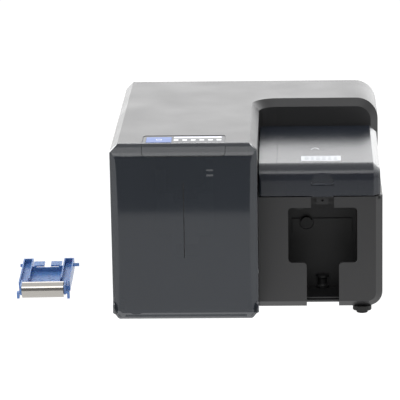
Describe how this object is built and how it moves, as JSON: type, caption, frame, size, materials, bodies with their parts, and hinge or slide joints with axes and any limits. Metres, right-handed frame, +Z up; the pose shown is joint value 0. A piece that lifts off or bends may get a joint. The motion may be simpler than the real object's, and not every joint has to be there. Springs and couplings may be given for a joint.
{
  "type": "id card printer",
  "caption": "L-shaped desktop card printer: drop-down front cover, hinged card hopper lid over an output window, control strip, and a loose roller cleaning cassette beside it.",
  "frame": {"origin": "middle of the bounding box's underside, on the table, of the printer and the cassette lying beside it", "axes": "+X to the right as seen from the front, +Y to the back, +Z up from the table; the front cover faces -Y"},
  "size_m": [0.4974, 0.389, 0.246],
  "materials": {
    "case_plastic": "fine-grained satin, near black",
    "cover_plastic": "smooth satin-gloss, near black",
    "lid_plastic": "high gloss, blue black",
    "inner_plastic": "matte black",
    "panel_plastic": "pale grey, satin",
    "key_plastic": "pale blue, satin",
    "lens_plastic": "milky white, smooth",
    "display_glass": "clear, smooth",
    "foot_rubber": "matte",
    "roller_rubber": "matte, ground",
    "belt_rubber": "matte",
    "cleaning_rubber": "pale, tacky, smooth",
    "shaft_steel": "turned and polished",
    "sheet_steel": "zinc-plated sheet",
    "motor_steel": "black lacquer",
    "gear_plastic": "natural white",
    "board_laminate": "green lacquer",
    "socket_plastic": "moulded black",
    "screw_steel": "blackened",
    "ink_plastic": "moulded grey",
    "cassette_plastic": "translucent blue, smooth"
  },
  "bodies": {
    "chassis": {"base_tray": "case_plastic", "top_case": "case_plastic", "front_panel": "case_plastic", "rear_panel": "case_plastic", "front_bulkhead": "inner_plastic", "control_bezel": "panel_plastic", "indicator_lenses": "lens_plastic", "display_window": "display_glass", "rubber_feet": "foot_rubber", "cover_hinge_pins": "shaft_steel", "hopper_tray": "inner_plastic", "lid_hinge_pins": "shaft_steel", "lid_catch_block": "inner_plastic", "output_bin": "inner_plastic", "transport_frame_front": "sheet_steel", "transport_frame_rear": "sheet_steel", "print_platen": "sheet_steel", "feed_motor": "motor_steel", "feed_belt": "belt_rubber", "drive_bracket": "sheet_steel", "pick_motor": "motor_steel", "rear_frame": "sheet_steel", "guide_rods": "shaft_steel", "carriage_belt": "belt_rubber", "idler_bracket": "sheet_steel", "carriage_motor": "motor_steel", "service_tower": "inner_plastic", "capping_pad": "roller_rubber", "wiper_blade": "roller_rubber", "main_board": "board_laminate", "board_standoffs": "sheet_steel", "power_socket": "socket_plastic", "data_socket": "socket_plastic", "network_socket": "socket_plastic", "case_screws": "screw_steel"},
    "front_cover_body": {"front_cover": "cover_plastic", "cover_catches": "inner_plastic"},
    "hopper_lid_body": {"hopper_lid": "lid_plastic"},
    "power_key_body": {"power_key": "key_plastic"},
    "feed_roller_left_body": {"feed_roller_left": "roller_rubber", "feed_shaft_left": "shaft_steel"},
    "feed_roller_right_body": {"feed_roller_right": "roller_rubber", "feed_shaft_right": "shaft_steel"},
    "pinch_left_body": {"pinch_roller_left": "shaft_steel"},
    "pinch_right_body": {"pinch_roller_right": "shaft_steel"},
    "feed_motor_pulley_body": {"feed_motor_pulley": "gear_plastic"},
    "pick_body": {"pick_roller": "roller_rubber", "pick_shaft": "shaft_steel"},
    "pick_pinion_body": {"pick_pinion": "gear_plastic"},
    "output_body": {"output_wheel": "roller_rubber", "output_shaft": "shaft_steel"},
    "carriage_body": {"carriage": "inner_plastic", "ink_cartridge": "ink_plastic", "latch_pin": "shaft_steel"},
    "latch_body": {"cartridge_latch": "inner_plastic"},
    "carriage_idler_body": {"carriage_idler": "gear_plastic"},
    "carriage_pulley_body": {"carriage_pulley": "gear_plastic"},
    "cassette_body": {"cassette_carrier": "cassette_plastic"},
    "cleaning_roller_body": {"cleaning_roller": "cleaning_rubber"}
  },
  "joints": [
    {"name": "cover_hinge", "type": "hinge", "parent": "chassis", "child": "front_cover_body", "pos_m": [-0.01153, -0.17747, 0.024], "axis": [1, 0, 0], "range_deg": [0, 90]},
    {"name": "lid_hinge", "type": "hinge", "parent": "chassis", "child": "hopper_lid_body", "pos_m": [0.16937, 0.04103, 0.202], "axis": [-1, 0, 0], "range_deg": [0, 90]},
    {"name": "power_key_press", "type": "slide", "parent": "chassis", "child": "power_key_body", "axis": [0, 0, -1], "range_m": [0, 0.0008], "stiffness_N_per_m": 400},
    {"name": "feed_left_spin", "type": "hinge", "parent": "chassis", "child": "feed_roller_left_body", "pos_m": [-0.06453, -0.09687, 0.145], "axis": [0, 1, 0], "continuous": true},
    {"name": "feed_right_spin", "type": "hinge", "parent": "chassis", "child": "feed_roller_right_body", "pos_m": [0.04147, -0.09687, 0.145], "axis": [0, 1, 0], "continuous": true},
    {"name": "pinch_left_spin", "type": "hinge", "parent": "chassis", "child": "pinch_left_body", "pos_m": [-0.06453, -0.09687, 0.1578], "axis": [0, 1, 0], "continuous": true},
    {"name": "pinch_right_spin", "type": "hinge", "parent": "chassis", "child": "pinch_right_body", "pos_m": [0.04147, -0.09687, 0.1578], "axis": [0, 1, 0], "continuous": true},
    {"name": "feed_motor_spin", "type": "hinge", "parent": "chassis", "child": "feed_motor_pulley_body", "pos_m": [-0.01153, -0.05927, 0.118], "axis": [0, 1, 0], "continuous": true},
    {"name": "pick_spin", "type": "hinge", "parent": "chassis", "child": "pick_body", "pos_m": [0.13887, -0.09687, 0.1455], "axis": [0, 1, 0], "continuous": true},
    {"name": "pick_pinion_spin", "type": "hinge", "parent": "chassis", "child": "pick_pinion_body", "pos_m": [0.13887, -0.04927, 0.12745], "axis": [0, 1, 0], "continuous": true},
    {"name": "output_spin", "type": "hinge", "parent": "chassis", "child": "output_body", "pos_m": [0.14847, -0.06427, 0.10872], "axis": [0, 1, 0], "continuous": true},
    {"name": "carriage_slide", "type": "slide", "parent": "chassis", "child": "carriage_body", "axis": [0, 1, 0], "range_m": [0, 0.15]},
    {"name": "cartridge_latch_hinge", "type": "hinge", "parent": "carriage_body", "child": "latch_body", "pos_m": [-0.01153, -0.13147, 0.175], "axis": [1, 0, 0], "range_deg": [0, 40]},
    {"name": "carriage_idler_spin", "type": "hinge", "parent": "chassis", "child": "carriage_idler_body", "pos_m": [0.05577, -0.15147, 0.19], "axis": [0, 0, 1], "range_deg": [-1433, 0]},
    {"name": "carriage_pulley_spin", "type": "hinge", "parent": "chassis", "child": "carriage_pulley_body", "pos_m": [0.05577, 0.10423, 0.19], "axis": [0, 0, 1], "range_deg": [-1433, 0]},
    {"name": "cassette_lift", "type": "slide", "parent": "chassis", "child": "cassette_body", "axis": [0, 0, 1], "range_m": [0, 0.06]},
    {"name": "cleaning_roller_spin", "type": "hinge", "parent": "cassette_body", "child": "cleaning_roller_body", "pos_m": [-0.21193, -0.05597, 0.0119], "axis": [0.9996, -0.0227, 0.0175], "continuous": true}
  ],
  "couplings": [
    {"joint": "feed_right_spin", "follows": "feed_left_spin", "ratio": 1},
    {"joint": "feed_motor_spin", "follows": "feed_left_spin", "ratio": 1.3},
    {"joint": "pinch_left_spin", "follows": "feed_left_spin", "ratio": -1.4},
    {"joint": "pinch_right_spin", "follows": "feed_left_spin", "ratio": -1.4},
    {"joint": "pick_pinion_spin", "follows": "pick_spin", "ratio": -2},
    {"joint": "output_spin", "follows": "pick_spin", "ratio": 0.8},
    {"joint": "carriage_idler_spin", "follows": "carriage_slide", "rad_per_m": -166.67},
    {"joint": "carriage_pulley_spin", "follows": "carriage_slide", "rad_per_m": -166.67}
  ]
}
